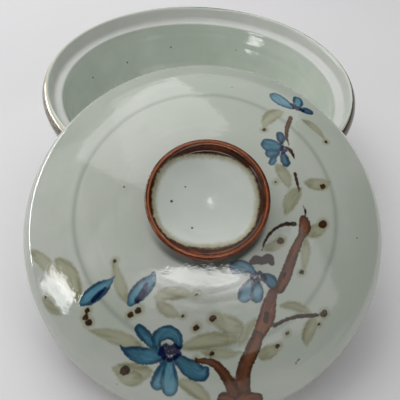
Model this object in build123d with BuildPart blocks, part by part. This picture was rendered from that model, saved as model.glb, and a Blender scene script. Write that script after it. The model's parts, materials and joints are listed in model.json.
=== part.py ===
"""A stoneware serving bowl for rice with its domed lid, millimetres, +Z up.

The bowl stands on the plane z = 0. The lid is off its seat and leans on the bowl: its front edge
is on the table and its underside lies over the front of the rim. The origin is in the middle of
the set's footprint, on the table.
"""

import os
from math import cos, radians, sin, sqrt, tan

from build123d import *

# Bowl: radii are measured from its axis, heights from the table.
bowl_y = 52.95
bowl_height = 70.0
rim_radius = 110.0
lip_crest_radius = 106.4
bead_height = 63.0
under_bead_radius = 108.6
under_bead_height = 56.0
belly_radius = 90.9
belly_height = 23.6
floor_under = 9.0
floor_top = 15.0
foot_flat_radius = 57.0

# Gallery: the step inside the rim that the lid sits on.
gallery_top_radius = 104.6
gallery_top_height = 68.4
gallery_wall_radius = 103.4
gallery_wall_height = 61.5
ledge_outer_radius = 102.4
ledge_outer_height = 60.5
ledge_inner_radius = 97.3
ledge_inner_height = 59.7
well_lean = 18.0
well_round = 22.0

# Foot ring under the bowl.
foot_inner_radius = 46.0
foot_outer_radius = 54.5
foot_flare = 1.5
foot_round = 1.2

# Lid: radii are measured from its own axis, heights from the plane of its widest circle.
lid_radius = 99.5
lid_wall = 6.2
dome_radius = 164.3
shoulder_radius = 92.5
shoulder_height = 16.42
seat_height = -3.3
seat_outer_radius = 98.5
seat_inner_radius = 93.5
cavity_radius = 87.0
groove_radius = 66.3
groove_half_width = 1.1
groove_depth = 0.6

# Knob: a flared ring with a dished top, on the crown of the dome.
knob_radius = 28.9
knob_lip_radius = 27.1
knob_lip_height = 58.8
knob_edge_height = 57.0
knob_dish_radius = 24.2
knob_dish_height = 56.2
knob_dish_floor = 51.0
knob_waist_radius = 23.5
knob_waist_height = 48.4
knob_foot_radius = 25.4

# Pose of the leaning lid.
lid_x = 5.6
lid_y = bowl_y - 125.3
lid_z = 49.15
lid_tilt = 27.85

# The well's wall leans outward from where the round at its foot ends.
lean = radians(well_lean)
wall_foot_height = floor_top + well_round * (1 - sin(lean))
wall_foot_radius = ledge_inner_radius - (ledge_inner_height - wall_foot_height) * tan(lean)
floor_radius = wall_foot_radius - well_round * cos(lean)

dome_centre = shoulder_height - sqrt(dome_radius**2 - shoulder_radius**2)


def dome_height(radius, inset=0.0):
    """Height of the dome at a radius, or of the surface a given inset below it."""
    return dome_centre + sqrt((dome_radius - inset) ** 2 - radius**2)


# Section planes: local x runs outward from the axis, local y runs along the axis.
bowl_section = Plane(origin=(0, bowl_y, 0), x_dir=(1, 0, 0), z_dir=(0, -1, 0))
bowl_axis = Axis((0, bowl_y, 0), (0, 0, 1))

tilt = radians(lid_tilt)
lid_centre = (lid_x, lid_y, lid_z)
lid_normal = (0, -sin(tilt), cos(tilt))
lid_section = Plane(origin=lid_centre, x_dir=(1, 0, 0), z_dir=(0, -cos(tilt), -sin(tilt)))
lid_axis = Axis(lid_centre, lid_normal)

with BuildPart() as bowl_body:
    with BuildSketch(bowl_section):
        with BuildLine():
            Line((0, floor_under), (foot_flat_radius, floor_under))
            ThreePointArc(
                (foot_flat_radius, floor_under),
                (belly_radius, belly_height),
                (under_bead_radius, under_bead_height),
            )
            TangentArc(
                (rim_radius, bead_height),
                (under_bead_radius, under_bead_height),
                tangent=(0, -1),
            )
            TangentArc(
                (rim_radius, bead_height),
                (lip_crest_radius, bowl_height),
                tangent=(0, 1),
            )
            TangentArc(
                (lip_crest_radius, bowl_height),
                (gallery_top_radius, gallery_top_height),
                tangent=(-1, 0),
            )
            Line(
                (gallery_top_radius, gallery_top_height),
                (gallery_wall_radius, gallery_wall_height),
            )
            Line(
                (gallery_wall_radius, gallery_wall_height),
                (ledge_outer_radius, ledge_outer_height),
            )
            Line((ledge_outer_radius, ledge_outer_height), (ledge_inner_radius, ledge_inner_height))
            Line((ledge_inner_radius, ledge_inner_height), (wall_foot_radius, wall_foot_height))
            TangentArc(
                (floor_radius, floor_top),
                (wall_foot_radius, wall_foot_height),
                tangent=(1, 0),
            )
            Line((floor_radius, floor_top), (0, floor_top))
            Line((0, floor_top), (0, floor_under))
        make_face()
    revolve(axis=bowl_axis)

bowl_body.part.label = "bowl_body"

with BuildPart() as bowl_foot:
    with BuildSketch(bowl_section):
        with BuildLine():
            FilletPolyline(
                (foot_inner_radius - foot_flare, floor_under),
                (foot_inner_radius, 0),
                (foot_outer_radius, 0),
                (foot_outer_radius + foot_flare, floor_under),
                radius=foot_round,
            )
            Line(
                (foot_outer_radius + foot_flare, floor_under),
                (foot_inner_radius - foot_flare, floor_under),
            )
        make_face()
    revolve(axis=bowl_axis)

bowl_foot.part.label = "bowl_foot"

cavity_top_height = dome_height(0, lid_wall)
cavity_edge_height = dome_height(cavity_radius, lid_wall)
cavity_slope = (cavity_edge_height - dome_centre, -cavity_radius)

with BuildPart() as lid_dome:
    with BuildSketch(lid_section):
        with BuildLine():
            TangentArc((0, dome_height(0)), (shoulder_radius, shoulder_height), tangent=(1, 0))
            TangentArc((lid_radius, 0), (shoulder_radius, shoulder_height), tangent=(0, 1))
            TangentArc((lid_radius, 0), (seat_outer_radius, seat_height), tangent=(0, -1))
            Line((seat_outer_radius, seat_height), (seat_inner_radius, seat_height))
            TangentArc(
                (cavity_radius, cavity_edge_height),
                (seat_inner_radius, seat_height),
                tangent=cavity_slope,
            )
            TangentArc((0, cavity_top_height), (cavity_radius, cavity_edge_height), tangent=(1, 0))
            Line((0, cavity_top_height), (0, dome_height(0)))
        make_face()
    revolve(axis=lid_axis)
    with BuildSketch(lid_section):
        with Locations((groove_radius, dome_height(groove_radius) + groove_half_width - groove_depth)):
            Circle(groove_half_width)
    revolve(axis=lid_axis, mode=Mode.SUBTRACT)

lid_dome.part.label = "lid_dome"

with BuildPart() as lid_knob:
    with BuildSketch(lid_section):
        with BuildLine():
            TangentArc(
                (0, dome_height(0)),
                (knob_foot_radius, dome_height(knob_foot_radius)),
                tangent=(1, 0),
            )
            Line(
                (knob_foot_radius, dome_height(knob_foot_radius)),
                (knob_waist_radius, knob_waist_height),
            )
            TangentArc(
                (knob_waist_radius, knob_waist_height),
                (knob_radius, knob_edge_height),
                tangent=(0, 1),
            )
            TangentArc(
                (knob_lip_radius, knob_lip_height),
                (knob_radius, knob_edge_height),
                tangent=(1, 0),
            )
            TangentArc(
                (knob_lip_radius, knob_lip_height),
                (knob_dish_radius, knob_dish_height),
                tangent=(-1, 0),
            )
            TangentArc(
                (0, knob_dish_floor),
                (knob_dish_radius, knob_dish_height),
                tangent=(1, 0),
            )
            Line((0, knob_dish_floor), (0, dome_height(0)))
        make_face()
    revolve(axis=lid_axis)

lid_knob.part.label = "lid_knob"

os.makedirs("parts", exist_ok=True)
export_step(bowl_body.part, "parts/bowl_body.step")
export_step(bowl_foot.part, "parts/bowl_foot.step")
export_step(lid_dome.part, "parts/lid_dome.step")
export_step(lid_knob.part, "parts/lid_knob.step")
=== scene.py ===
"""Looks of the covered rice bowl: thrown stoneware with a celadon glaze and a painted lid.

Shapes are in millimetres in each piece's own frame and become metres when the mesh is made.
The bowl's frame stands on the table under its axis. The lid's frame is in the plane of its widest
circle: x to the right, y up the slope towards the bowl, z along the lid's axis.
"""

import json
import math

import bpy
import numpy as np
from mathutils import Matrix, Vector


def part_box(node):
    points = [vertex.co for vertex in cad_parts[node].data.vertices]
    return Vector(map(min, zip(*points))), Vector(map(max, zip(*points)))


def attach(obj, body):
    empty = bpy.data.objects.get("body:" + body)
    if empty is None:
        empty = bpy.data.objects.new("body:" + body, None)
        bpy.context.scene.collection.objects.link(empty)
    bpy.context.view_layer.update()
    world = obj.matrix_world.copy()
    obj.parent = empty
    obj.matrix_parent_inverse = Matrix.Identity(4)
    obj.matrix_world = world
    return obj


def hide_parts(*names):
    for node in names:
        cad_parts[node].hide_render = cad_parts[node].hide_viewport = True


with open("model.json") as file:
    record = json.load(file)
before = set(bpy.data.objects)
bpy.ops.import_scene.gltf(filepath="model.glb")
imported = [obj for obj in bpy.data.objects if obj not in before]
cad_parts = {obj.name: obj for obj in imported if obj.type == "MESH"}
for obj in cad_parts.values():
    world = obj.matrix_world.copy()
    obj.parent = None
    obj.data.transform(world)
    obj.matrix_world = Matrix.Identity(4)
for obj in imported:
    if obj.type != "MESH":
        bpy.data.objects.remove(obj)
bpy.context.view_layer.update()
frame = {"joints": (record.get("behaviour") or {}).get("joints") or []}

MM = 0.001

# A distance that stands for "nowhere near" in the marks stored on the vertices.
FAR = -30.0


# ---------------------------------------------------------------- profiles


def line(start, end):
    """A straight run of profile points."""
    return np.linspace(start, end, 40)


def arc(start, end, tangent):
    """A circular run from start to end that leaves start along the tangent."""
    start, end = np.array(start, float), np.array(end, float)
    tangent = np.array(tangent, float) / np.linalg.norm(tangent)
    normal = np.array([-tangent[1], tangent[0]])
    chord = end - start
    radius = (chord @ chord) / (2 * (chord @ normal))
    centre = start + radius * normal
    first = math.atan2(*(start - centre)[::-1])
    sweep = 2 * math.atan2(chord @ normal, chord @ tangent)
    angles = first + np.linspace(0, sweep, 60)
    return centre + abs(radius) * np.stack([np.cos(angles), np.sin(angles)], -1)


def chain(*runs):
    """Joins runs of points end to end."""
    kept = [runs[0]] + [run[1:] for run in runs[1:]]
    return np.concatenate(kept)


def lengths_along(points):
    """Length from the first point to each point."""
    steps = np.linalg.norm(np.diff(points, axis=0), axis=1)
    return np.concatenate([[0], np.cumsum(steps)])


def soften(points, reach):
    """Evenly spaced points with every corner rounded over the given reach, as glaze rounds it."""
    step = 0.1
    along = lengths_along(points)
    even = np.linspace(0, along[-1], int(along[-1] / step) + 1)
    dense = np.stack([np.interp(even, along, points[:, i]) for i in (0, 1)], -1)
    half = int(3 * reach / step)
    kernel = np.exp(-0.5 * (np.arange(-half, half + 1) * step / reach) ** 2)
    kernel /= kernel.sum()
    lead = 2 * dense[0] - dense[half:0:-1]
    tail = 2 * dense[-1] - dense[-2 : -half - 2 : -1]
    padded = np.concatenate([lead, dense, tail])
    return np.stack([np.convolve(padded[:, i], kernel, "valid") for i in (0, 1)], -1)


def spaced(points, fine, coarse, is_fine):
    """Thins dense points to a fine spacing where is_fine(radius, height) holds and a coarse one elsewhere."""
    along = lengths_along(points)
    kept = [0]
    for i in range(1, len(points) - 1):
        gap = fine if is_fine(*points[i]) else coarse
        if along[i] - along[kept[-1]] >= gap:
            kept.append(i)
    return points[kept + [len(points) - 1]]


# ---------------------------------------------------------------- meshes


def lathe(name, profile, segments, relief, closed_ring=False):
    """Revolves a profile into a closed mesh.

    relief(radius, height, angle) moves the points along the profile's normal.
    """
    tangent = np.gradient(profile, axis=0)
    tangent /= np.linalg.norm(tangent, axis=1)[:, None]
    outward = np.stack([-tangent[:, 1], tangent[:, 0]], -1)
    tips = outward[[0, -1], 1]
    if closed_ring:
        rings, poles = profile[:-1], []
        outward = outward[:-1]
    else:
        rings, poles = profile[1:-1], [profile[0], profile[-1]]
        outward = outward[1:-1]
    angle = np.linspace(0, 2 * math.pi, segments, endpoint=False)
    radius = np.repeat(rings[:, :1], segments, 1)
    height = np.repeat(rings[:, 1:], segments, 1)
    turn = np.repeat(angle[None], len(rings), 0)
    lift = relief(radius, height, turn)
    radius = radius + lift * outward[:, :1]
    height = height + lift * outward[:, 1:]
    grid = np.stack([radius * np.cos(turn), radius * np.sin(turn), height], -1)
    points = grid.reshape(-1, 3)
    index = np.arange(len(points)).reshape(len(rings), segments)
    if closed_ring:
        index = np.concatenate([index, index[:1]])
    following = np.roll(index, -1, 1)
    quads = np.stack([index[:-1], index[1:], following[1:], following[:-1]], -1).reshape(-1, 4)
    faces = quads.tolist()
    ends = zip(poles, tips, (index[0], index[-1]), (following[0], following[-1]), (True, False))
    for pole, side, ring, after, first in ends:
        tip = len(points)
        raised = side * relief(np.zeros(1), pole[1:], np.zeros(1))[0]
        points = np.concatenate([points, [[0, 0, pole[1] + raised]]])
        faces += [[tip, a, b] if first else [tip, b, a] for a, b in zip(ring.tolist(), after.tolist())]
    return make_piece(name, points, faces), points


def make_piece(name, points, faces):
    """A smooth mesh object, which keeps its own frame's millimetres as the attribute place."""
    mesh = bpy.data.meshes.new(name)
    mesh.from_pydata((points * MM).tolist(), [], faces)
    mesh.shade_smooth()
    piece = bpy.data.objects.new(name, mesh)
    bpy.context.scene.collection.objects.link(piece)
    give(piece, "place", points)
    return piece


def give(piece, name, values):
    """Stores one number or one vector per vertex on a piece."""
    values = np.asarray(values, np.float32)
    if values.ndim == 2:
        layer = piece.data.attributes.new(name, "FLOAT_VECTOR", "POINT")
        layer.data.foreach_set("vector", values.ravel())
    else:
        layer = piece.data.attributes.new(name, "FLOAT", "POINT")
        layer.data.foreach_set("value", values)


def smooth(low, high, x):
    """0 below low, 1 above high, and a smooth step between them."""
    t = np.clip((x - low) / (high - low), 0, 1)
    return t * t * (3 - 2 * t)


def hump(x, middle, width):
    """A bell round the middle."""
    return np.exp(-(((x - middle) / width) ** 2))


# The waves of the throwing marks: height and length in mm, turns per revolution, and phase.
THROWING_WAVES = ((0.030, 7.3, 1, 0.0), (0.020, 4.1, -1, 1.3), (0.012, 2.6, 2, 0.4))


def throwing(radius, height, angle):
    """The faint spiral that the potter's fingers leave, about 0.05 mm high."""
    way = 2 * math.pi * np.hypot(radius, height)
    lift = 0.0
    for tall, length, turns, phase in THROWING_WAVES:
        lift = lift + tall * np.sin(way / length + turns * angle + phase)
    return lift


# ---------------------------------------------------------------- the bowl

bowl_low, bowl_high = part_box("bowl_body")
BOWL_FRAME = Matrix.Translation(((bowl_low.x + bowl_high.x) / 2, (bowl_low.y + bowl_high.y) / 2, 0))
FLOOR_UNDER = 9.0
FLOOR_TOP = 15.0
WALL_LEAN = math.radians(18.0)
WELL_ROUND = 22.0
LEDGE_INNER = (97.3, 59.7)
LEDGE_OUTER = (102.4, 60.5)
GALLERY_FOOT = (103.4, 61.5)
GALLERY_TOP = (104.6, 68.4)
LIP = (106.4, 70.0)
RIM = (110.0, 63.0)
UNDER_BEAD = (108.6, 56.0)
BELLY = (90.9, 23.6)
FOOT_FLAT = (57.0, FLOOR_UNDER)

wall_foot_height = FLOOR_TOP + WELL_ROUND * (1 - math.sin(WALL_LEAN))
wall_foot = (LEDGE_INNER[0] - (LEDGE_INNER[1] - wall_foot_height) * math.tan(WALL_LEAN), wall_foot_height)
floor_edge = (wall_foot[0] - WELL_ROUND * math.cos(WALL_LEAN), FLOOR_TOP)


def outer_wall():
    """The bowl's outside, from under the rim's bead down to the flat underside, as one arc."""
    high, middle, low = (complex(*point) for point in (UNDER_BEAD, BELLY, FOOT_FLAT))
    ratio = (low - high) / (middle - high)
    centre = (middle - high) * (ratio - abs(ratio) ** 2) / (2j * ratio.imag) + high
    first, last = (math.atan2((end - centre).imag, (end - centre).real) for end in (high, low))
    angles = np.linspace(first, last, 120)
    radius = abs(high - centre)
    return np.stack([centre.real + radius * np.cos(angles), centre.imag + radius * np.sin(angles)], -1)


bowl_profile = chain(
    line((0, FLOOR_TOP), floor_edge),
    arc(floor_edge, wall_foot, (1, 0)),
    line(wall_foot, LEDGE_INNER),
    line(LEDGE_INNER, LEDGE_OUTER),
    line(LEDGE_OUTER, GALLERY_FOOT),
    line(GALLERY_FOOT, GALLERY_TOP),
    arc(LIP, GALLERY_TOP, (-1, 0))[::-1],
    arc(RIM, LIP, (0, 1))[::-1],
    arc(UNDER_BEAD, RIM, (0.35, 0.94))[::-1],
    outer_wall(),
    line(FOOT_FLAT, (0, FLOOR_UNDER)),
)
bowl_profile = soften(bowl_profile, 0.45)
bowl_profile[[0, -1], 0] = 0
bowl_rings = spaced(bowl_profile, 0.6, 2.0, lambda radius, height: height > 52)


def bowl_relief(radius, height, angle):
    """Throwing marks, fading out round the rim, where the lid touches."""
    strength = 2.2 * smooth(62, 50, height) * smooth(3, 12, radius)
    return throwing(radius, height, angle) * strength


bowl, bowl_points = lathe("bowl_body_glazed", bowl_rings[::-1], 500, bowl_relief)


def mark_rim(piece, points):
    """Stores how far inside each finish of the rim a vertex is, in mm, and how near the pale left side."""
    radius = np.hypot(points[:, 0], points[:, 1])
    height = points[:, 2]
    turn = np.arctan2(points[:, 1], points[:, 0])
    round_lip = np.hypot(radius - LIP[0], height - LIP[1])
    outside = np.where(radius > LIP[0], round_lip, -round_lip)
    waver = 0.25 * np.sin(3 * turn + 0.3) + 0.2 * np.sin(7 * turn)
    left = hump(np.degrees(np.abs(turn)), 180, 45)
    right = hump(np.degrees(turn), 0, 45)
    iron_start = 2.1 * (1 - np.sin(turn)) - 1.6 * right - 0.4 + waver
    iron_end = 12.0 + waver - 6.0 * left
    iron = np.minimum(outside - iron_start, iron_end - outside)
    iron[height < 45] = FAR
    gallery = np.where(radius < 105.6, np.minimum(height - 58.8, 68.6 - height), FAR)
    give(piece, "iron", iron)
    give(piece, "gallery", gallery)
    give(piece, "pale_side", left)
    give(piece, "cream", np.minimum(outside + 0.4, 9.0 - outside))


mark_rim(bowl, bowl_points)

# ---------------------------------------------------------------- the foot ring

FOOT_INNER = 46.0
FOOT_OUTER = 54.5
FOOT_FLARE = 1.5
foot_profile = chain(
    line((FOOT_INNER - FOOT_FLARE, FLOOR_UNDER), (FOOT_INNER, 0)),
    line((FOOT_INNER, 0), (FOOT_OUTER, 0)),
    line((FOOT_OUTER, 0), (FOOT_OUTER + FOOT_FLARE, FLOOR_UNDER)),
    line((FOOT_OUTER + FOOT_FLARE, FLOOR_UNDER), (FOOT_INNER - FOOT_FLARE, FLOOR_UNDER)),
)
foot_profile = soften(foot_profile, 0.5)
foot_profile[-1] = foot_profile[0]
foot_rings = spaced(foot_profile, 0.45, 0.45, lambda radius, height: True)


def foot_relief(radius, height, angle):
    """Throwing marks that fade out on the flat that stands on the table and where the foot meets the bowl."""
    return throwing(radius, height, angle) * smooth(0, 2, height) * smooth(FLOOR_UNDER, 6, height)


foot, _ = lathe("bowl_foot_ring", foot_rings, 360, foot_relief, closed_ring=True)

# ---------------------------------------------------------------- the lid

LID_RADIUS = 99.5
LID_WALL = 6.2
DOME_RADIUS = 164.3
SHOULDER = (92.5, 16.42)
SEAT_OUTER = (98.5, -3.3)
SEAT_INNER = (93.5, -3.3)
CAVITY_RADIUS = 87.0
GROOVE_RADIUS = 66.3
dome_centre = SHOULDER[1] - math.sqrt(DOME_RADIUS**2 - SHOULDER[0] ** 2)
shoulder_round = ((LID_RADIUS - SHOULDER[0]) ** 2 + SHOULDER[1] ** 2) / (2 * (LID_RADIUS - SHOULDER[0]))

# The lid's frame is found from its axis and its box: the shoulder's round is what reaches
# furthest forward, and the seat's outer edge is what is lowest.
LID_AXIS = Vector(frame["joints"][0]["axis"]).normalized()
lid_low, lid_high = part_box("lid_dome")
lean_out, lean_up = -LID_AXIS.y, LID_AXIS.z
LID_CENTRE = Vector(
    (
        (lid_low.x + lid_high.x) / 2,
        lid_low.y + MM * ((LID_RADIUS - shoulder_round) * lean_up + shoulder_round),
        lid_low.z + MM * (SEAT_OUTER[0] * lean_out - SEAT_OUTER[1] * lean_up),
    )
)
across = Vector((1, 0, 0))
lid_turned = Matrix((across, LID_AXIS.cross(across), LID_AXIS)).transposed().to_4x4()
LID_FRAME = Matrix.Translation(LID_CENTRE) @ lid_turned


def dome_height(radius, inset=0.0):
    """Height of the dome at a radius, or of the surface a given inset below it."""
    return dome_centre + np.sqrt((DOME_RADIUS - inset) ** 2 - np.square(radius))


cavity_edge = (CAVITY_RADIUS, dome_height(CAVITY_RADIUS, LID_WALL))
cavity_slope = (cavity_edge[1] - dome_centre, -CAVITY_RADIUS)
lid_profile = chain(
    arc((0, dome_height(0)), SHOULDER, (1, 0)),
    arc((LID_RADIUS, 0), SHOULDER, (0, 1))[::-1],
    arc((LID_RADIUS, 0), SEAT_OUTER, (0, -1)),
    line(SEAT_OUTER, SEAT_INNER),
    arc(cavity_edge, SEAT_INNER, cavity_slope)[::-1],
    arc((0, dome_height(0, LID_WALL)), cavity_edge, (1, 0))[::-1],
)
lid_profile = soften(lid_profile, 0.5)
lid_profile[[0, -1], 0] = 0


def on_top(radius, height):
    """Whether a profile point is on the lid's outside, beyond the knob."""
    lowest = -1.0 if radius > 97 else min(dome_height(min(radius, SHOULDER[0])) - 1.5, 12)
    return radius > 22 and height > lowest


lid_rings = spaced(lid_profile, 0.85, 2.6, on_top)


def lid_relief(radius, height, angle):
    """The groove, a few finger rings and a soft unevenness on the top; nothing where the lid touches."""
    underside = dome_height(np.minimum(radius, SHOULDER[0]), LID_WALL)
    outer = smooth(1, 4, height - underside) * smooth(-1, 6, height)
    groove = -0.12 * hump(radius, GROOVE_RADIUS + 0.25 * np.sin(angle * 2 + 1), 1.4)
    crease = 0.12 * hump(radius, SHOULDER[0] + 0.5, 1.1) * (height > 10)
    finger = 0.05 * hump(radius, 43, 1.6) - 0.04 * hump(radius, 46, 1.8) + 0.03 * hump(radius, 38.5, 1.4)
    uneven = 0.03 * np.sin(3 * angle + radius / 21) + 0.02 * np.sin(5 * angle - radius / 13 + 2)
    return outer * (groove + crease + finger + 0.35 * throwing(radius, height, angle) + uneven - 0.12)


lid, lid_points = lathe("lid_dome_glazed", lid_rings, 464, lid_relief)
lid_radii = np.hypot(lid_points[:, 0], lid_points[:, 1])

# ---------------------------------------------------------------- the knob

KNOB_CREST = (27.1, 58.8)
KNOB_EDGE = (28.9, 57.0)
KNOB_DISH = (24.2, 56.2)

# The dish is 1.6 mm shallower than the CAD's, so that it mirrors the ceiling and not the lamp.
KNOB_DISH_FLOOR = 52.6
KNOB_WAIST = (23.5, 48.4)
KNOB_FOOT = 25.4
KNOB_SUNK = 1.0
foot_of_knob = (KNOB_FOOT, float(dome_height(KNOB_FOOT)))
under_knob = (KNOB_FOOT - 0.2, foot_of_knob[1] - KNOB_SUNK)
knob_profile = chain(
    arc((0, KNOB_DISH_FLOOR), KNOB_DISH, (1, 0)),
    arc(KNOB_CREST, KNOB_DISH, (-1, 0))[::-1],
    arc(KNOB_CREST, KNOB_EDGE, (1, 0)),
    arc(KNOB_WAIST, KNOB_EDGE, (0, 1))[::-1],
    arc(foot_of_knob, KNOB_WAIST, (-0.75, 0.66))[::-1],
    line(foot_of_knob, under_knob),
    line(under_knob, (0, under_knob[1])),
)
knob_profile = soften(knob_profile, 0.35)
knob_profile[[0, -1], 0] = 0
knob_rings = spaced(knob_profile, 0.35, 0.9, lambda radius, height: radius > 15 and height > 40)


def knob_relief(radius, height, angle):
    """Throwing marks away from the dish's centre; nothing where the knob meets the dome."""
    return (throwing(radius, height, angle) * smooth(4, 14, radius) - 0.05) * smooth(42, 45, height)


knob, knob_points = lathe("lid_knob_ring", knob_rings, 420, knob_relief)


def mark_knob(piece, points):
    """Stores each vertex's distance into the knob's iron glaze and from the crest of its lip, in mm."""
    radius = np.hypot(points[:, 0], points[:, 1])
    turn = np.arctan2(points[:, 1], points[:, 0])
    margin = 23.9 + np.cos(2 * turn) - 0.8 * np.cos(turn) - 0.4 * np.sin(turn) - 0.6 * np.cos(4 * turn)
    lower_side = points[:, 2] - (47.0 + 0.4 * np.sin(3 * turn))
    in_dish = (points[:, 2] > 50) & (radius < KNOB_CREST[0])
    iron = np.where(in_dish, radius - margin, lower_side)
    give(piece, "iron", iron)
    give(piece, "crest", np.hypot(radius - KNOB_CREST[0], points[:, 2] - KNOB_CREST[1]))


mark_knob(knob, knob_points)

# ---------------------------------------------------------------- the painting

# The strokes below are in mm on the lid, x to the right and y up the slope, before this slight stretch.
PAINTING_STRETCH = (1.006, 1.021)


class Layer:
    """One pigment on the lid.

    Each vertex knows how far inside the pigment it is (cover), and for its topmost stroke how far
    inside it is (edge), the stroke's tone, and the way along the stroke and aside of its middle.
    """

    def __init__(self, points):
        self.points = points
        count = len(points)
        self.cover = np.full(count, FAR)
        self.edge = np.full(count, FAR)
        self.tone = np.zeros(count)
        self.along = np.zeros(count)
        self.aside = np.zeros(count)

    def stroke(self, spine, widths, tone=0.5):
        """Lays a brush stroke along a curve through the spine's points, with a half width at each."""
        path, half = curve_through(spine, widths)
        reach = half.max() + 6
        low, high = path.min(0) - reach, path.max(0) + reach
        near = np.flatnonzero(((self.points > low) & (self.points < high)).all(1))
        inside, along, aside = measure(self.points[near], path, half)
        nearer = inside > self.cover[near]
        self.cover[near] = np.maximum(self.cover[near], inside)
        taken = (inside > 0) | (nearer & (self.edge[near] <= 0))
        chosen = near[taken]
        self.edge[chosen] = inside[taken]
        self.tone[chosen] = tone
        self.along[chosen] = along[taken]
        self.aside[chosen] = aside[taken]

    def dot(self, centre, size, tone=0.5):
        """A touch of the brush's tip, slightly longer than it is wide."""
        x, y = centre
        spine = [(x - 0.3 * size, y - 0.2 * size), (x + 0.3 * size, y + 0.2 * size)]
        self.stroke(spine, [size * 0.9, size], tone)

    def give_to(self, piece, name, painted):
        """Stores the layer on the piece's painted vertices, with the others left far outside."""
        for part, empty in (("cover", FAR), ("edge", FAR), ("tone", 0.0), ("along", 0.0), ("aside", 0.0)):
            values = np.full(len(piece.data.vertices), empty)
            values[painted] = getattr(self, part)
            give(piece, f"{name}_{part}", values)


def curve_through(spine, widths):
    """A smooth curve through the points, with the half widths carried along it."""
    knots = np.column_stack([np.array(spine, float), np.array(widths, float)])
    ends = np.vstack([2 * knots[0] - knots[1], knots, 2 * knots[-1] - knots[-2]])
    samples = []
    for a, b, c, d in zip(ends, ends[1:], ends[2:], ends[3:]):
        t = np.linspace(0, 1, 9)[:-1, None]
        samples.append(
            0.5 * (2 * b + (c - a) * t + (2 * a - 5 * b + 4 * c - d) * t**2 + (3 * b - a - 3 * c + d) * t**3)
        )
    samples.append(knots[-1:])
    path = np.vstack(samples)
    return path[:, :2], np.maximum(path[:, 2], 0.02)


def measure(points, path, half):
    """How far inside the stroke each point is, how far along it, and how far to its left."""
    best = np.full(len(points), -1e3)
    along = np.zeros(len(points))
    aside = np.zeros(len(points))
    travelled = lengths_along(path)
    for i in range(len(path) - 1):
        step = path[i + 1] - path[i]
        size = max(np.linalg.norm(step), 1e-6)
        offset = points - path[i]
        t = np.clip(offset @ step / size**2, 0, 1)
        away = offset - t[:, None] * step
        inside = half[i] + t * (half[i + 1] - half[i]) - np.linalg.norm(away, axis=1)
        better = inside > best
        best = np.where(better, inside, best)
        along = np.where(better, travelled[i] + t * size, along)
        aside = np.where(better, (step[0] * away[:, 1] - step[1] * away[:, 0]) / size, aside)
    return best, along, aside


# Only the vertices on the lid's outside are painted: those above the middle of its wall.
top = np.flatnonzero(lid_points[:, 2] > dome_height(np.minimum(lid_radii, SHOULDER[0]), 3.0))
canvas = lid_points[top, :2] / PAINTING_STRETCH
leaves, blue, brown, navy, halo = (Layer(canvas) for _ in range(5))


def bent_line(root, tip, bend, shares):
    """Points on the way from root to tip, pushed sideways by up to a few mm."""
    root, tip = np.array(root, float), np.array(tip, float)
    side = np.array([-(tip - root)[1], (tip - root)[0]]) / np.linalg.norm(tip - root)
    return [root + s * (tip - root) + side * bend * 4 * s * (1 - s) for s in shares]


def petal(root, tip, width, bend=0.0, tone=0.5):
    """A rounded petal from the blossom's centre to its tip, bent sideways by a few mm."""
    spine = bent_line(root, tip, bend, (0.06, 0.3, 0.6, 0.82))
    blue.stroke(spine, width * np.array([0.4, 0.78, 1.0, 0.86]), tone)


def leaf(root, tip, width, bend=0.0, tone=0.5):
    """A pointed watery leaf, widest a little before its middle."""
    spine = bent_line(root, tip, bend, (0.0, 0.2, 0.45, 0.75, 1.0))
    leaves.stroke(spine, width * np.array([0.25, 0.8, 1.0, 0.72, 0.12]), tone)


def berry(centre, size, tone=0.2):
    """A dark dot with a watery olive ring that has bled out of it."""
    brown.dot(centre, size, tone)
    halo.dot(centre, size + 1.1, tone)


def twig(spine, widths, tone=0.1):
    """A thin dark twig."""
    brown.stroke(spine, widths, tone)


def stamens(*centres, size=1.0):
    """A cluster of dark touches."""
    for centre in centres:
        navy.dot(centre, size)


# The blossom furthest up the slope, with its two leaves and its stem.
petal((46, 63), (34.5, 70.5), 4.1, 0.5, 0.8)
petal((47.5, 64.5), (49.5, 72), 3.3, -1.2, 0.7)
petal((49.5, 62.5), (58, 62.5), 2.5, 0.6, 0.4)
stamens((45.5, 65.5), (47.5, 65), (49, 64), (50.5, 63), (46.5, 63), (48.5, 62.5), (52, 62.5))
leaf((39.5, 58), (28.5, 45.5), 3.5, -2.4, 0.55)
leaf((51, 55.5), (63, 45), 2.4, 1.4, 0.5)
berry((28.5, 44), 0.95, 0.15)
berry((63.5, 43.5), 0.85, 0.1)
twig([(44, 55), (41.5, 48.5), (40.5, 41.5), (41.5, 37)], [1.2, 1.25, 0.9, 0.35], 0.55)

# The second blossom, beside the bent stroke of the stem.
petal((37, 35), (28.5, 35.5), 4.2, 0.8, 0.35)
petal((36, 31), (29.5, 29.5), 2.6, 0.0, 0.3)
petal((37.5, 37.5), (37, 43), 2.6, 0.0, 0.4)
petal((38, 31.5), (40, 24.5), 2.6, -0.3, 0.4)
petal((34, 28.5), (31, 24), 1.8, 0.2, 0.6)
stamens((37.5, 37), (38, 35), (37.5, 33), (38, 31.5), (39.5, 33))
twig([(40, 35), (42.5, 33), (44, 29)], [0.95, 1.2, 0.45], 0.2)
twig([(44, 20.5), (45, 16), (46, 11.5)], [0.95, 0.85, 0.5], 0.4)
leaf((34.5, 24), (40.5, 12.5), 3.4, 0.9, 0.5)
leaf((46.5, 12.5), (38.5, -1.5), 3.5, -1.2, 0.45)
berry((33.5, 14.5), 0.5, 0.1)
leaf((49.5, 16.5), (64, 19.5), 3.3, -1.2, 0.5)
berry((59, 16), 1.4, 0.3)

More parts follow.
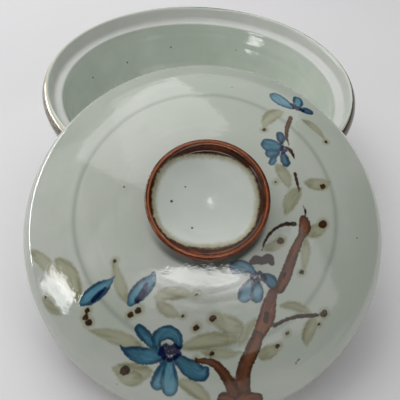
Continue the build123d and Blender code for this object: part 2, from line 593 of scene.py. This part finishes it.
# The branch, in pieces with pale gaps between them, its foot, its knots, and the twigs and leaves beside it.
brown.stroke([(48, -3), (48.5, -6.5), (47, -10.5)], [2.4, 3.1, 2.0], 0.8)
brown.stroke(
    [(46.5, -11.5), (44, -16.5), (41.5, -23), (39, -30), (36.5, -36)], [1.9, 2.3, 2.6, 2.9, 2.5], 0.7
)
brown.stroke(
    [(33, -38), (31.5, -43.5), (30.5, -49.5), (28.5, -54), (27, -58)], [2.2, 3.4, 4.1, 3.5, 3.0], 0.95
)
brown.stroke(
    [(26.5, -58.5), (24, -65.5), (21.5, -71.5), (21, -77.5), (21.5, -82.5)], [3.0, 3.5, 3.5, 3.7, 3.6], 0.6
)
brown.stroke([(12.5, -87), (20, -87.5), (28.5, -86.5)], [3.4, 4.4, 3.2], 0.65)
brown.stroke(
    [(-1.5, -70), (3, -70), (7, -71), (11, -74.5), (14.5, -79), (17.5, -84)],
    [1.0, 1.5, 1.9, 2.4, 2.7, 3.0],
    0.6,
)
navy.stroke([(30.5, -48), (30, -51)], [1.3, 1.2], 1.0)
navy.stroke([(38.5, -29.5), (38, -31)], [0.8, 0.6], 1.0)
twig([(48, 4), (49, 1), (49, -1.5)], [0.5, 0.6, 0.4], 0.1)
twig([(43, -5.5), (37.5, -6.5), (32, -10), (28.5, -15), (27, -19.5)], [1.15, 0.95, 0.75, 0.65, 0.4], 0.12)
leaf((28, -19), (38.5, -13), 2.4, -0.6, 0.5)
berry((36, -14.5), 1.5, 0.35)
navy.stroke([(22, -25.5), (24.5, -24), (27, -24.5)], [1.3, 2.1, 1.7], 1.0)
navy.stroke([(28, -24), (30.5, -23), (32, -25)], [1.9, 2.2, 1.3], 1.0)
leaf((50.5, -10.5), (60, -6), 3.2, 1.0, 0.5)
berry((58, -4), 1.9, 0.4)
leaf((49, -11.5), (48, -27), 2.5, 0.3, 0.5)
berry((47, -28), 1.0, 0.1)

# The third blossom, left of the branch.
petal((27, -31.5), (33.5, -36), 3.0, 1.4, 0.45)
petal((24, -30), (12, -29.5), 3.1, -2.2, 0.85)
petal((22.5, -33.5), (18, -41.5), 3.8, 0.8, 0.6)
petal((25.5, -34.5), (25.5, -42), 3.2, -0.2, 0.55)
stamens(
    (22.5, -31.5), (24, -30.5), (26, -30), (28, -31), (23, -33.5),
    (25, -32.5), (27, -32.5), (28.5, -32.5), (25.5, -34), (23.5, -35), size=1.05,
)

# The twig to the right, with its leaves.
twig([(34.5, -53), (40, -50), (47, -48), (56, -47)], [0.95, 0.8, 0.95, 0.9], 0.3)
berry((59.5, -46), 1.6, 0.25)
leaf((55, -49), (51.5, -61), 3.4, -1.4, 0.6)
leaf((37, -44), (53.5, -47.5), 2.2, 1.9, 0.4)
berry((41, -56), 0.9, 0.05)
twig([(48, -67.5), (46.5, -69.5)], [0.55, 0.4], 0.05)
leaf((28.5, -67), (37, -63), 3.4, 0.4, 0.5)
berry((36.5, -62), 1.0, 0.3)
berry((57, -51), 0.75, 0.1)

# The largest blossom, low on the slope.
blue.stroke([(-18.5, -66), (-23, -62.5), (-27, -59), (-29, -57)], [2.0, 2.5, 2.9, 2.4], 0.3)
blue.stroke(
    [(-20.5, -63.5), (-20, -60), (-15.5, -58), (-11.5, -59.5), (-10, -63.5)], [1.8, 2.8, 3.2, 2.8, 1.8], 0.35
)
petal((-15.5, -70), (-21, -83), 3.9, 1.0, 0.6)
petal((-14, -70), (-13, -86), 4.3, -0.5, 0.7)
blue.stroke([(-10.5, -69.5), (-3.5, -74), (1.5, -76), (3, -73.5)], [2.4, 4.3, 3.2, 1.6], 0.4)
blue.stroke(
    [(-18, -68.5), (-25, -69), (-31, -68), (-36, -66.5), (-38, -64.5)], [2.2, 4.0, 3.4, 1.2, 0.3], 0.3
)
stamens(
    (-18.5, -67.5), (-18, -65.5), (-16.5, -64), (-14.5, -65), (-12.5, -64), (-10.5, -65),
    (-16.5, -66.5), (-14, -67), (-12, -66.5), (-16.5, -69), (-14, -70), (-11.5, -69), (-10, -67.5), size=1.2,
)

# Leaves and dots round it.
leaf((-23, -75.5), (-41.5, -75), 4.6, 1.4, 0.6)
leaf((-27, -79.5), (-38.5, -79.5), 3.6, 0.0, 0.5)
berry((-35.5, -76), 2.1, 0.0)
leaf((-27, -65), (-53.5, -58.5), 3.3, -0.8, 0.5)
leaf((19.5, -55), (5, -50), 4.2, 0.8, 0.5)
berry((5, -51), 1.5, 0.3)
berry((-2.5, -55.5), 1.3, 0.3)
leaf((-8.5, -64.5), (22, -59.5), 3.7, 1.6, 0.6)
leaf((1, -66), (20, -65.5), 2.4, -0.8, 0.5)
leaf((-9.5, -79.5), (6.5, -89), 3.5, 1.0, 0.6)
berry((5.5, -66.5), 1.05, 0.2)
berry((-2, -69), 0.6, 0.1)
leaf((18, -62), (26, -50), 2.4, 0.6, 0.35)

# Two closed buds, with a leaf between them.
blue.stroke(
    [(-58, -46), (-53.5, -43), (-48.5, -39.5), (-45, -37), (-42, -34)], [1.6, 3.8, 3.6, 1.8, 0.3], 0.55
)
navy.stroke([(-52.5, -45), (-49.5, -42), (-46, -39)], [1.0, 1.1, 0.6], 0.5)
blue.stroke([(-34, -46), (-31, -42), (-27, -38), (-24, -35), (-23.5, -31.5)], [1.4, 3.7, 3.8, 2.2, 0.3], 0.55)
navy.stroke([(-30.5, -44.5), (-28, -41), (-26.5, -37)], [1.4, 1.6, 0.9], 0.5)
berry((-55, -49.5), 1.2, 0.1)
berry((-56, -52.5), 1.3, 0.2)
berry((-54, -55), 1.5, 0.1)
berry((-30, -49), 1.4, 0.1)
berry((-33.5, -51), 1.3, 0.2)
leaf((-35, -45.5), (-43, -26.5), 2.9, 0.8, 0.5)
berry((-42.5, -27), 0.8, 0.1)
leaf((-22, -42.5), (-4.5, -41), 3.2, 1.0, 0.55)
berry((-3, -41), 0.85, 0.05)
leaf((-21, -45), (-10.5, -50.5), 2.9, -0.6, 0.5)
berry((-9, -50.5), 0.65, 0.05)

# Leaves at the left edge.
leaf((-89, -20.5), (-69, -37), 3.2, 0.8, 0.5)
leaf((-73, -26), (-59.5, -45), 4.6, 2.0, 0.75)
leaf((-79, -44.5), (-69, -51.5), 2.6, -0.4, 0.35)
berry((-78, -43.5), 0.85, 0.05)

for layer, name in ((leaves, "leaf"), (blue, "blue"), (brown, "brown"), (navy, "navy"), (halo, "halo")):
    layer.give_to(lid, name, top)

lid_turn = np.arctan2(lid_points[:, 1], lid_points[:, 0])
lid_outside = np.zeros(len(lid_points))
lid_outside[top] = 1
give(lid, "outside", lid_outside)
give(lid, "groove", lid_outside * hump(lid_radii, GROOVE_RADIUS, 1.3))

# The clay is bare on the seat ring, up to 0.7 mm above the seat. A shadow is painted on the dome in front of
# the knob's foot, where the knob shades it.
give(lid, "bare", np.minimum(-2.6 - lid_points[:, 2], lid_radii - 92.6))
give(lid, "painted_knob_shadow", lid_outside * smooth(31.5, 29.0, lid_radii) * smooth(0.1, -0.8, np.sin(lid_turn - 0.25)))

# ---------------------------------------------------------------- materials


def srgb(*values):
    """A colour given as a screen shows it, 0 to 255, as the linear colour that shaders use."""
    shares = [v / 255 for v in values]
    return tuple(s / 12.92 if s <= 0.04045 else ((s + 0.055) / 1.055) ** 2.4 for s in shares) + (1.0,)


class Shader:
    """A material's node tree, built with one call per node."""

    def __init__(self, name, **settings):
        self.material = bpy.data.materials.new(name)
        self.material.use_nodes = True
        self.tree = self.material.node_tree
        self.surface = self.tree.nodes["Principled BSDF"]
        for socket, value in settings.items():
            self.surface.inputs[socket.replace("_", " ")].default_value = value

    def put(self, socket, value):
        """Sets a socket from another node's output or from a constant."""
        if isinstance(value, bpy.types.NodeSocket):
            self.tree.links.new(value, socket)
        else:
            socket.default_value = value

    def node(self, kind, **properties):
        made = self.tree.nodes.new(kind)
        for name, value in properties.items():
            setattr(made, name, value)
        return made

    def attribute(self, name, output="Fac"):
        made = self.node("ShaderNodeAttribute", attribute_name=name)
        return made.outputs[output]

    def math(self, operation, a, b=0.0):
        made = self.node("ShaderNodeMath", operation=operation)
        self.put(made.inputs[0], a)
        self.put(made.inputs[1], b)
        return made.outputs[0]

    def times(self, a, b):
        return self.math("MULTIPLY", a, b)

    def plus(self, a, b):
        return self.math("ADD", a, b)

    def step(self, low, high, value, start=0.0, end=1.0):
        """A smooth ramp of value from start at low to end at high."""
        made = self.node("ShaderNodeMapRange", interpolation_type="SMOOTHSTEP")
        ramp = {"Value": value, "From Min": low, "From Max": high, "To Min": start, "To Max": end}
        for name, setting in ramp.items():
            self.put(made.inputs[name], setting)
        return made.outputs["Result"]

    def noise(self, vector, scale, detail=2.0, roughness=0.5, distortion=0.0):
        made = self.node("ShaderNodeTexNoise")
        self.put(made.inputs["Vector"], vector)
        settings = {"Scale": scale, "Detail": detail, "Roughness": roughness, "Distortion": distortion}
        for name, value in settings.items():
            made.inputs[name].default_value = value
        return made.outputs["Fac"]

    def vector(self, x, y, z=0.0):
        made = self.node("ShaderNodeCombineXYZ")
        for i, value in enumerate((x, y, z)):
            self.put(made.inputs[i], value)
        return made.outputs[0]

    def scaled(self, vector, factors):
        made = self.node("ShaderNodeVectorMath", operation="MULTIPLY")
        self.put(made.inputs[0], vector)
        made.inputs[1].default_value = factors
        return made.outputs[0]

    def radius(self, vector):
        """Distance from the piece's axis."""
        made = self.node("ShaderNodeVectorMath", operation="LENGTH")
        self.put(made.inputs[0], self.scaled(vector, (1, 1, 0)))
        return made.outputs["Value"]

    def mix(self, factor, a, b):
        """Colour a where the factor is 0, and colour b where it is 1."""
        made = self.node("ShaderNodeMix", data_type="RGBA")
        self.put(made.inputs["Factor"], factor)
        self.put(made.inputs[6], a)
        self.put(made.inputs[7], b)
        return made.outputs[2]

    def specks(self, vector, cell, size, share):
        """Scattered iron specks: 1 at a speck, 0 elsewhere. Only a share of the cells hold one."""
        made = self.node("ShaderNodeTexVoronoi", feature="F1")
        self.put(made.inputs["Vector"], vector)
        made.inputs["Scale"].default_value = 1 / cell
        colour = self.node("ShaderNodeSeparateColor")
        self.put(colour.inputs[0], made.outputs["Color"])
        edge = self.times(colour.outputs[1], size / cell)
        spot = self.step(0.0, 1.0, self.math("DIVIDE", made.outputs["Distance"], edge), 1.0, 0.0)
        return self.times(spot, self.math("LESS_THAN", colour.outputs[0], share))

    def spots(self, vector, places):
        """Single iron specks at given places: 1 at a speck, 0 elsewhere."""
        found = 0.0
        for x, y, z, size in places:
            away = self.node("ShaderNodeVectorMath", operation="DISTANCE")
            self.put(away.inputs[0], vector)
            away.inputs[1].default_value = (x, y, z)
            found = self.math("MAXIMUM", found, self.step(size, 0.45 * size, away.outputs["Value"]))
        return found

    def finish(self, colour, roughness, height, strength, distance):
        """Wires the colour, the roughness and the bumps into the surface, and returns the material."""
        bump = self.node("ShaderNodeBump")
        self.put(bump.inputs["Height"], height)
        bump.inputs["Strength"].default_value = strength
        bump.inputs["Distance"].default_value = distance
        self.put(self.surface.inputs["Base Color"], colour)
        self.put(self.surface.inputs["Roughness"], roughness)
        self.tree.links.new(bump.outputs[0], self.surface.inputs["Normal"])
        return self.material


IRON_SPECK = srgb(52, 50, 38)

# Single specks: their places in the piece's own frame, and their sizes, in mm.
BOWL_SPECKS = (
    (-85.1, 33.3, 41.5, 1.0),
    (-62.2, 65.2, 37.5, 1.0),
    (-26.8, 87.4, 41.2, 0.9),
    (30, 86.5, 42, 0.6),
)
LID_SPECKS = ((-41, 9, 39.5, 0.7), (12, 74, 27, 0.6), (-75.5, -62, 8, 0.6), (78.5, -8, 24.5, 0.6))
KNOB_SPECKS = ((-16.5, -1.5, 54.2, 0.9), (-6.5, -13.5, 54, 0.7), (-10.5, 6, 53.5, 0.55))

# The pale, the deep and the greener shade of each celadon.
BOWL_CELADON = (srgb(216, 223, 212), srgb(203, 212, 200), srgb(197, 211, 196))
LID_CELADON = (srgb(197, 202, 192), srgb(186, 193, 181), srgb(182, 194, 179))
KNOB_CELADON = (srgb(216, 221, 214), srgb(204, 211, 202), srgb(200, 210, 200))


def celadon(shader, place, shades, spots):
    """The celadon body colour: cloudy, a little greener in patches, with faint rings and iron specks."""
    pale, deep, green = shades
    cloud = shader.noise(place, 0.018, 3.0, 0.55)
    body = shader.mix(shader.step(0.35, 0.68, cloud), pale, deep)
    patches = shader.noise(shader.scaled(place, (1, 1, 1.3)), 0.045, 2.0, 0.5, 0.4)
    body = shader.mix(shader.step(0.48, 0.75, patches, 0.0, 0.55), body, green)
    rings = shader.noise(shader.vector(shader.radius(place), 0.0), 0.42, 3.0, 0.65)
    body = shader.mix(shader.step(0.3, 0.7, rings, 0.0, 0.16), body, deep)
    large = shader.specks(place, 24.0, 1.25, 0.36)
    small = shader.specks(place, 7.5, 0.5, 0.2)
    body = shader.mix(shader.times(large, 0.85), body, IRON_SPECK)
    body = shader.mix(shader.times(shader.spots(place, spots), 0.92), body, IRON_SPECK)
    return shader.mix(shader.times(small, 0.5), body, IRON_SPECK)


def glaze_surface(shader, place):
    """Roughness and height of the glaze: nearly smooth, with a soft orange peel."""
    peel = shader.noise(place, 0.16, 3.0, 0.6)
    fine = shader.noise(place, 0.75, 2.0, 0.5)
    height = shader.plus(peel, shader.times(fine, 0.12))
    roughness = shader.step(0.3, 0.75, peel, 0.05, 0.10)
    return roughness, height


def bare_clay(shader, place, warm, cool):
    """Unglazed stoneware: sandy, with fine dark grains."""
    sand = shader.noise(place, 0.9, 5.0, 0.7)
    tint = shader.noise(place, 0.06, 3.0, 0.5)
    colour = shader.mix(shader.step(0.3, 0.7, tint), warm, cool)
    colour = shader.mix(shader.step(0.35, 0.75, sand, 0.0, 0.35), colour, srgb(118, 98, 76))
    grains = shader.specks(place, 2.6, 0.45, 0.4)
    return shader.mix(shader.times(grains, 0.6), colour, srgb(64, 48, 36)), sand


def iron_glaze(shader, place, ragged):
    """Iron-brown glaze: dark where it pools, rust where it thins, streaked down its flow."""
    tone = shader.noise(place, 0.22, 4.0, 0.6, 0.5)
    colour = shader.mix(shader.step(0.35, 0.62, tone), srgb(66, 26, 4), srgb(122, 54, 14))
    return shader.mix(shader.step(0.45, 0.8, ragged, 0.0, 0.5), colour, srgb(36, 11, 4))


class Brushwork:
    """The painting's pigments in the lid's shader, with edges that waver as a brush's do."""

    def __init__(self, shader, place):
        self.shader = shader
        self.place = place
        self.wander = shader.noise(place, 0.55, 3.0, 0.6)
        self.offset = shader.times(shader.math("SUBTRACT", self.wander, 0.5), 1.3)
        self.outside = shader.math("GREATER_THAN", shader.attribute("outside"), 0.5)

    def cover(self, name, soft, share=1.0):
        """Coverage of a pigment, 0 to 1, with an edge that is soft over so many mm."""
        shader = self.shader
        inside = shader.plus(shader.attribute(f"{name}_cover"), shader.times(self.offset, share))
        return shader.times(shader.step(-soft, soft, inside), self.outside)

    def depth(self, name, along=0.05, aside=0.22, pooling=0.8):
        """Depth of the wash: uneven along its strokes, and deeper where it has pooled at their edges."""
        shader = self.shader
        flow = shader.vector(
            shader.times(shader.attribute(f"{name}_along"), along),
            shader.times(shader.attribute(f"{name}_aside"), aside),
            shader.times(shader.attribute(f"{name}_tone"), 9.0),
        )
        uneven = shader.noise(flow, 1.0, 3.0, 0.6, 0.6)
        edge = shader.plus(shader.attribute(f"{name}_edge"), shader.times(self.offset, 0.5))
        pooled = shader.step(2.6, 0.1, edge, 0.0, pooling)
        return shader.plus(pooled, shader.step(0.38, 0.62, uneven, 0.0, 0.6))

    def wash(self, depth, pale, dark):
        return self.shader.mix(self.shader.math("MINIMUM", depth, 1.0), pale, dark)

    def leaves(self, colour):
        """Watery olive leaves, and the olive that has bled from the dots."""
        shader = self.shader
        bled = shader.times(self.cover("halo", 1.1), 0.5)
        colour = shader.mix(bled, colour, srgb(146, 140, 96))
        depth = self.depth("leaf", pooling=0.3)
        shown = shader.step(0, 1, shader.attribute("leaf_tone"), 0.6, 0.9)
        strength = shader.plus(shader.times(depth, 0.28), shown)
        olive = self.wash(depth, srgb(164, 164, 134), srgb(132, 132, 102))
        return shader.mix(shader.times(self.cover("leaf", 0.95, share=1.3), strength), colour, olive)

    def petals(self, colour, cover):
        """Teal petals, with a green touch here and there."""
        shader = self.shader
        tone = shader.attribute("blue_tone")
        pale = shader.mix(tone, srgb(36, 116, 142), srgb(112, 164, 182))
        dark = shader.mix(tone, srgb(0, 46, 74), srgb(14, 76, 104))
        teal = self.wash(self.depth("blue"), pale, dark)
        touch = shader.step(0.56, 0.72, shader.noise(self.place, 0.3, 2.0, 0.5), 0.0, 0.35)
        teal = shader.mix(touch, teal, srgb(52, 122, 120))
        return shader.mix(shader.times(cover, 0.96), colour, teal)

    def bark(self, colour, cover):
        """Orange-brown bark, twigs and dots, purplish in patches on the thick strokes."""
        shader = self.shader
        tone = shader.attribute("brown_tone")
        pale = shader.mix(tone, srgb(84, 46, 12), srgb(140, 84, 46))
        dark = shader.mix(tone, srgb(34, 18, 2), srgb(84, 40, 10))
        brown = self.wash(self.depth("brown", 0.09, 0.3), pale, dark)
        patches = shader.step(0.5, 0.68, shader.noise(self.place, 0.16, 3.0, 0.55, 0.8))
        purple = shader.times(patches, shader.times(tone, 0.5))
        brown = shader.mix(purple, brown, srgb(98, 72, 76))
        return shader.mix(shader.times(cover, 0.97), colour, brown)

    def ink(self, colour):
        """Navy touches, and the brown-purple of the strokes with the fullest tone."""
        shader = self.shader
        navy = shader.mix(shader.step(0.4, 0.7, self.wander), srgb(4, 4, 46), srgb(12, 14, 78))
        full = shader.math("GREATER_THAN", shader.attribute("navy_tone"), 0.9)
        navy = shader.mix(full, navy, srgb(60, 36, 40))
        return shader.mix(shader.times(self.cover("navy", 0.4, share=0.7), 0.93), colour, navy)


def lid_material():
    shader = Shader("lid_painted_celadon", IOR=1.5)
    place = shader.attribute("place", "Vector")
    colour = celadon(shader, place, LID_CELADON, LID_SPECKS)
    groove = shader.times(shader.attribute("groove"), 0.5)
    colour = shader.mix(groove, colour, srgb(138, 146, 132))

    brush = Brushwork(shader, place)
    petal_cover = brush.cover("blue", 0.38)
    bark_cover = brush.cover("brown", 0.32, share=1.1)
    colour = brush.leaves(colour)
    colour = brush.petals(colour, petal_cover)
    colour = brush.bark(colour, bark_cover)
    colour = brush.ink(colour)

    # Painted shadow: the dome is darkened in front of the knob's foot, where the knob shades it.
    painted_knob_shadow = shader.times(shader.attribute("painted_knob_shadow"), 0.9)
    colour = shader.mix(painted_knob_shadow, colour, srgb(58, 60, 52))

    clay, sand = bare_clay(shader, place, srgb(176, 160, 134), srgb(152, 140, 122))
    into_clay = shader.attribute("bare")
    bare = shader.step(-0.25, 0.25, shader.plus(into_clay, shader.times(brush.offset, 0.5)))
    flash = shader.times(shader.step(-1.1, 0.0, into_clay), 0.55)
    colour = shader.mix(flash, colour, srgb(124, 88, 56))
    colour = shader.mix(bare, colour, clay)

    roughness, height = glaze_surface(shader, place)
    roughness = shader.plus(roughness, shader.times(bare, 0.55))
    raised = shader.times(shader.math("MAXIMUM", petal_cover, bark_cover), 0.30)
    height = shader.plus(height, raised)
    height = shader.plus(height, shader.times(shader.times(bare, sand), 1.2))
    return shader.finish(colour, roughness, height, 0.35, 0.00035)


def bowl_material():
    shader = Shader("bowl_celadon", IOR=1.5)
    place = shader.attribute("place", "Vector")
    colour = celadon(shader, place, BOWL_CELADON, BOWL_SPECKS)
    waver = shader.times(shader.math("SUBTRACT", shader.noise(place, 0.35, 4.0, 0.65), 0.5), 1.2)
    gallery = shader.step(-0.5, 0.5, shader.attribute("gallery"))
    thin = shader.mix(shader.noise(place, 0.08, 2.0), srgb(222, 224, 219), srgb(210, 213, 207))
    thin = shader.mix(shader.times(shader.specks(place, 9.0, 0.7, 0.3), 0.7), thin, IRON_SPECK)
    colour = shader.mix(gallery, colour, thin)
    iron_in = shader.plus(shader.attribute("iron"), waver)
    pale = shader.attribute("pale_side")
    cream = shader.step(-0.3, 0.3, shader.attribute("cream"))
    lip = shader.mix(pale, srgb(214, 216, 206), srgb(226, 218, 192))
    colour = shader.mix(shader.times(cream, 0.85), colour, lip)
    streak = shader.noise(shader.scaled(place, (0.5, 0.5, 2.4)), 0.9, 3.0, 0.6)
    iron = shader.mix(shader.step(0.4, 0.65, streak), srgb(58, 42, 28), srgb(96, 72, 50))
    iron = shader.mix(shader.times(pale, shader.step(0.46, 0.58, streak)), iron, srgb(204, 190, 160))
    iron_cover = shader.step(-0.3, 0.3, iron_in)
    colour = shader.mix(iron_cover, colour, iron)
    roughness, height = glaze_surface(shader, place)
    roughness = shader.plus(roughness, shader.times(gallery, 0.28))
    height = shader.plus(height, shader.times(iron_cover, 0.3))
    return shader.finish(colour, roughness, height, 0.35, 0.00035)


def knob_material():
    shader = Shader("knob_iron_glaze", IOR=1.33)
    place = shader.attribute("place", "Vector")
    colour = celadon(shader, place, KNOB_CELADON, KNOB_SPECKS)
    radius = shader.radius(place)
    spoke = shader.scaled(place, (1.0, 1.0, 0.15))
    drips = shader.noise(spoke, 0.55, 4.0, 0.7)
    slow = shader.noise(place, 0.12, 2.0, 0.5)
    ragged = shader.plus(drips, shader.times(slow, 0.6))
    fringe = shader.times(shader.math("SUBTRACT", ragged, 0.8), 2.2)
    iron_in = shader.plus(shader.attribute("iron"), fringe)
    ochre = shader.step(-3.0, -0.2, iron_in)
    colour = shader.mix(shader.times(ochre, 0.7), colour, srgb(150, 136, 84))
    iron = iron_glaze(shader, place, drips)
    margin = shader.step(4.0, 1.0, iron_in)
    iron = shader.mix(shader.times(margin, 0.85), iron, srgb(48, 24, 4))
    # Paler rust along the lip's crest, where the iron glaze breaks thin, and a painted highlight along the
    # crest as well.
    crest = shader.step(0.7, 0.1, shader.attribute("crest"))
    iron = shader.mix(shader.times(crest, 0.55), iron, srgb(186, 116, 82))
    iron_cover = shader.step(-0.5, 0.7, iron_in)
    colour = shader.mix(iron_cover, colour, iron)
    roughness, height = glaze_surface(shader, place)
    dripped = shader.times(shader.step(15.0, 22.0, radius), shader.times(drips, 0.4))
    height = shader.plus(height, dripped)
    return shader.finish(colour, roughness, height, 0.3, 0.0003)


def foot_material():
    shader = Shader("foot_bare_stoneware", IOR=1.45)
    place = shader.attribute("place", "Vector")
    colour, sand = bare_clay(shader, place, srgb(182, 164, 136), srgb(158, 146, 126))
    roughness = shader.step(0.3, 0.7, sand, 0.62, 0.82)
    return shader.finish(colour, roughness, sand, 0.6, 0.0004)


for piece, place, body, node, slot, material in (
    (bowl, BOWL_FRAME, "bowl", "bowl_body", "bowl_glaze", bowl_material()),
    (foot, BOWL_FRAME, "bowl", "bowl_foot", "bare_stoneware", foot_material()),
    (lid, LID_FRAME, "lid", "lid_dome", "lid_glaze", lid_material()),
    (knob, LID_FRAME, "lid", "lid_knob", "knob_glaze", knob_material()),
):
    piece.data.transform(place)
    piece.data.materials.append(material)
    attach(piece, body)
    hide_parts(node)

# ---------------------------------------------------------------- studio


def bearing(azimuth, elevation):
    """Unit vector towards a compass bearing from +Y over +X, and an angle above the table."""
    a, e = math.radians(azimuth), math.radians(elevation)
    return Vector((math.sin(a) * math.cos(e), math.cos(a) * math.cos(e), math.sin(e)))


LIT_POINT = Vector((0.0, -0.02, 0.05))


def panel(name, azimuth, elevation, distance, width, height, radiance, shape="RECTANGLE"):
    """An area light that faces the object, in metres and degrees.

    Its width and height are the angles it fills as the object sees it, and its brightness is a radiance.
    """
    data = bpy.data.lights.new(name, "AREA")
    data.shape = shape
    data.size = 2 * distance * math.tan(math.radians(width / 2))
    data.size_y = 2 * distance * math.tan(math.radians(height / 2))
    area = data.size * data.size_y * (math.pi / 4 if shape == "ELLIPSE" else 1)
    data.energy = radiance * math.pi * area
    lamp = bpy.data.objects.new(name, data)
    lamp.location = LIT_POINT + bearing(azimuth, elevation) * distance
    lamp.rotation_euler = (LIT_POINT - lamp.location).to_track_quat("-Z", "Y").to_euler()
    lamp.visible_camera = False
    bpy.context.scene.collection.objects.link(lamp)
    return lamp


panel("sky", -40, 55, 1.15, 52, 46, 1.8)
panel("ceiling", 0, 58, 1.6, 70, 60, 0.8)
panel("curtain", -92, 22, 1.5, 60, 30, 0.65)
panel("room_left", -140, 46, 1.5, 44, 40, 0.8)
panel("room_right", 140, 30, 1.5, 50, 40, 1.15)

# The window, its sill and the lamps are seen in the glaze. The light they shed is in the soft panels above.
for mirrored in (
    panel("window_top_pane", -121.8, 10.2, 0.471, 15.5, 3.65, 13.0),
    panel("window_middle_pane", -121.8, 7.1, 0.471, 15.5, 1.95, 9.0),
    panel("window_low_pane", -121.8, 4.3, 0.471, 15.5, 2.7, 9.0),
    panel("sill", -73, 3.0, 1.2, 54, 5.0, 25.0),
    panel("lamp", 180, 44, 1.4, 34, 6, 5.0, "ELLIPSE"),
    panel("lamp_glow", 180, 42.6, 1.42, 44, 11, 2.5, "ELLIPSE"),
    panel("lamp_shade", 180, 40.4, 1.44, 52, 16, 1.3, "ELLIPSE"),
    panel("lamp_wall", 180, 38, 1.46, 60, 22, 0.7, "ELLIPSE"),
    panel("ceiling_lamp", -179, 76.5, 1.6, 2.4, 1.8, 40.0, "ELLIPSE"),
):
    mirrored.visible_diffuse = False

world = bpy.data.worlds.new("studio")
world.use_nodes = True
world.node_tree.nodes["Background"].inputs["Color"].default_value = (0.96, 0.97, 1.0, 1.0)
world.node_tree.nodes["Background"].inputs["Strength"].default_value = 0.03
bpy.context.scene.world = world


def floor_material():
    shader = Shader("table", Roughness=0.65)
    coordinates = shader.node("ShaderNodeTexCoord").outputs["Object"]
    cloud = shader.noise(coordinates, 2.2, 2.0, 0.5)
    colour = shader.mix(shader.step(0.3, 0.7, cloud), srgb(241, 240, 241), srgb(235, 233, 235))
    shader.put(shader.surface.inputs["Base Color"], colour)
    return shader.material


TABLE_REACH = 4.0
corners = ((-1, -1), (1, -1), (1, 1), (-1, 1))
floor_mesh = bpy.data.meshes.new("table")
floor_mesh.from_pydata([(x * TABLE_REACH, y * TABLE_REACH, 0) for x, y in corners], [], [(0, 1, 2, 3)])
floor = bpy.data.objects.new("table", floor_mesh)
floor.data.materials.append(floor_material())
bpy.context.scene.collection.objects.link(floor)

# The camera is held over the table, about 37 cm from the middle of the rim. It looks down, turned a
# touch to the right and rolled.
CAMERA_PLACE = Vector((-0.85, -258.29, 261.85)) * MM
CAMERA_DOWN = 45.782
CAMERA_RIGHT = 1.074
CAMERA_ROLL = 3.442
CAMERA_LENS = 44.95

camera_data = bpy.data.cameras.new("camera")
camera_data.lens = CAMERA_LENS
camera_data.sensor_width = 36.0
camera_data.clip_start = 0.01
camera = bpy.data.objects.new("camera", camera_data)
forward = bearing(CAMERA_RIGHT, -CAMERA_DOWN)
level = bearing(CAMERA_RIGHT + 90, 0)
roll = math.radians(CAMERA_ROLL)
upright = level.cross(forward)
right = math.cos(roll) * level + math.sin(roll) * upright
up = math.cos(roll) * upright - math.sin(roll) * level
facing = Matrix((right, up, -forward)).transposed().to_4x4()
camera.matrix_world = Matrix.Translation(CAMERA_PLACE) @ facing
bpy.context.scene.collection.objects.link(camera)
bpy.context.scene.camera = camera
bpy.context.scene.view_settings.view_transform = "Standard"
